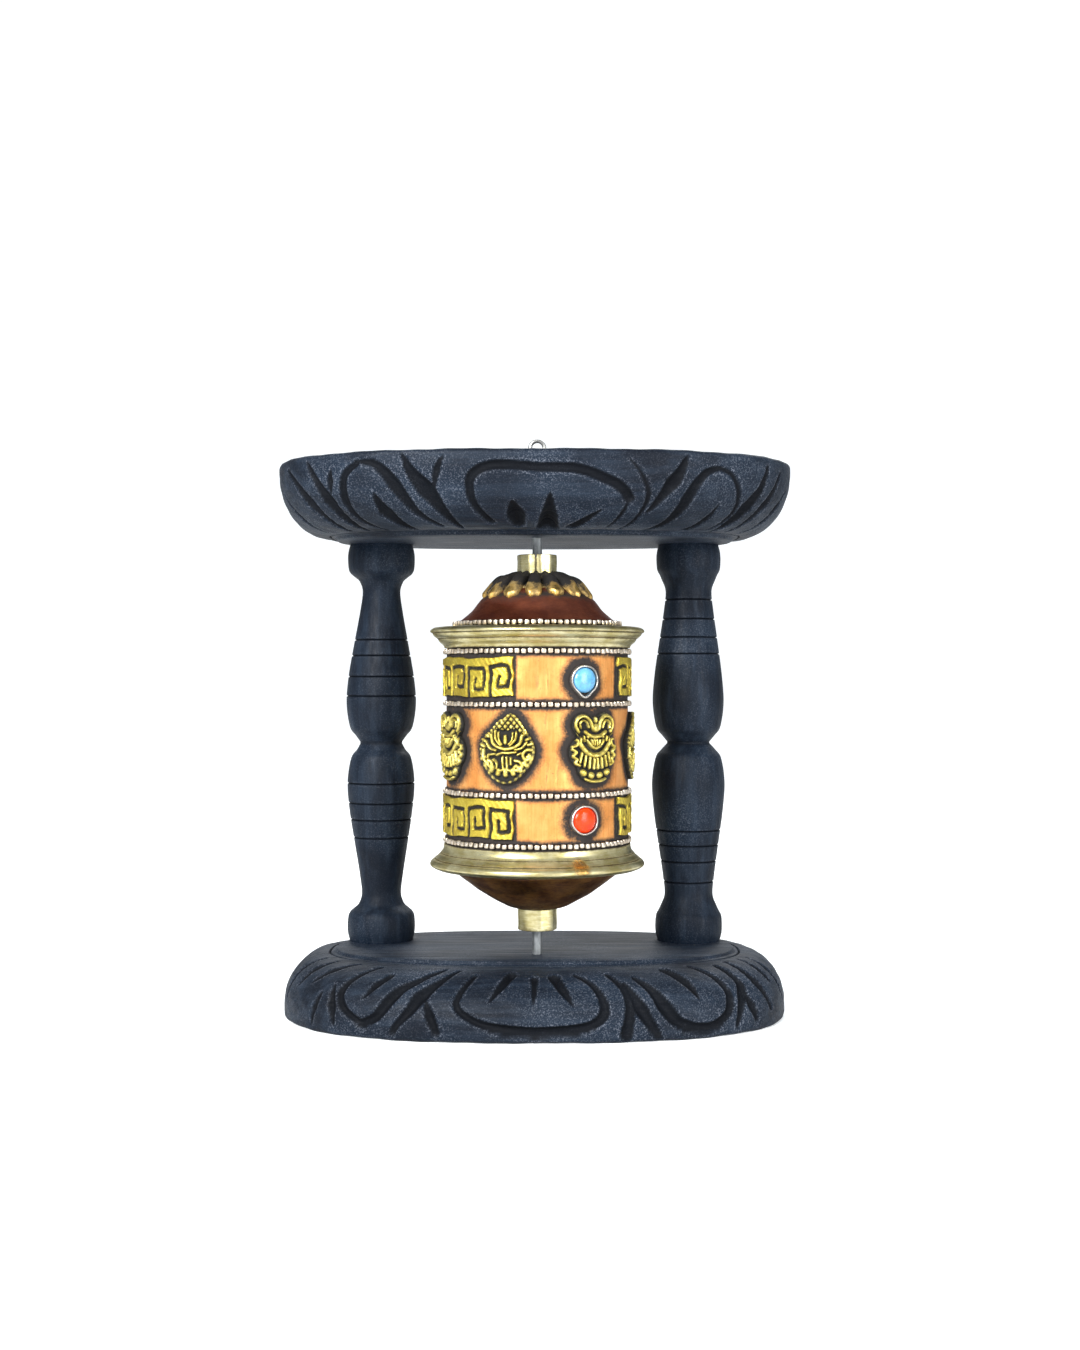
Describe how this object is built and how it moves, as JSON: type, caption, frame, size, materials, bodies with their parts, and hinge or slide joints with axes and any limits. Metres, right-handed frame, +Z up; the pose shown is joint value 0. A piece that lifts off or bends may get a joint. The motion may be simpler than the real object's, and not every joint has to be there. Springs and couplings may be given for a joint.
{
  "type": "prayer wheel",
  "caption": "Tabletop prayer wheel: a copper and brass drum that spins on a spindle in a black wooden stand with two oval carved boards and two turned posts.",
  "frame": {"origin": "middle of the base board's underside", "axes": "+Z up along the spindle, +X along the boards' length to the right post, -Y the front, towards the viewer"},
  "size_m": [0.19, 0.124, 0.2115],
  "materials": {
    "wood": "black stain, satin, worn grey on the high spots",
    "copper": "bright copper sheet with dark patina round the ornament",
    "red_copper": "dark red oxidised copper",
    "brown_copper": "mottled brown oxidised copper",
    "pale_brass": "turned pale brass, satin",
    "brass": "yellow brass with black recesses",
    "black_brass": "black patina with worn gold tips",
    "bead_wire": "silvery pearled wire with black recesses",
    "steel": "grey, rough, slightly rusted",
    "turquoise": "polished, faint brown veins",
    "coral": "glossy orange",
    "paper": "printed-side-in paper roll"
  },
  "bodies": {
    "stand": {"base_board": "wood", "top_board": "wood", "left_post": "wood", "right_post": "wood", "spindle": "steel", "spindle_stop": "steel", "thrust_washer": "brass", "hanging_eye": "steel"},
    "wheel": {"drum_shell": "copper", "upper_flange": "pale_brass", "lower_flange": "pale_brass", "dome_lid": "red_copper", "lower_bowl": "brown_copper", "upper_collar": "pale_brass", "lower_collar": "pale_brass", "upper_bush": "brass", "lower_bush": "brass", "petal_crown": "black_brass", "dome_bead_wire": "bead_wire", "core_tube": "brass", "paper_scroll": "paper", "upper_plaques": "brass", "lower_plaques": "brass", "lotus_medallions": "brass", "vase_medallions": "brass", "turquoise_bezels": "pale_brass", "turquoise_stones": "turquoise", "coral_bezels": "pale_brass", "coral_stones": "coral", "bead_wire_1": "bead_wire", "bead_wire_2": "bead_wire", "bead_wire_3": "bead_wire", "bead_wire_4": "bead_wire"}
  },
  "joints": [
    {"name": "wheel_spin", "type": "hinge", "parent": "stand", "child": "wheel", "pos_m": [0.001, -0.02, 0.1], "axis": [0, 0, 1], "continuous": true}
  ]
}
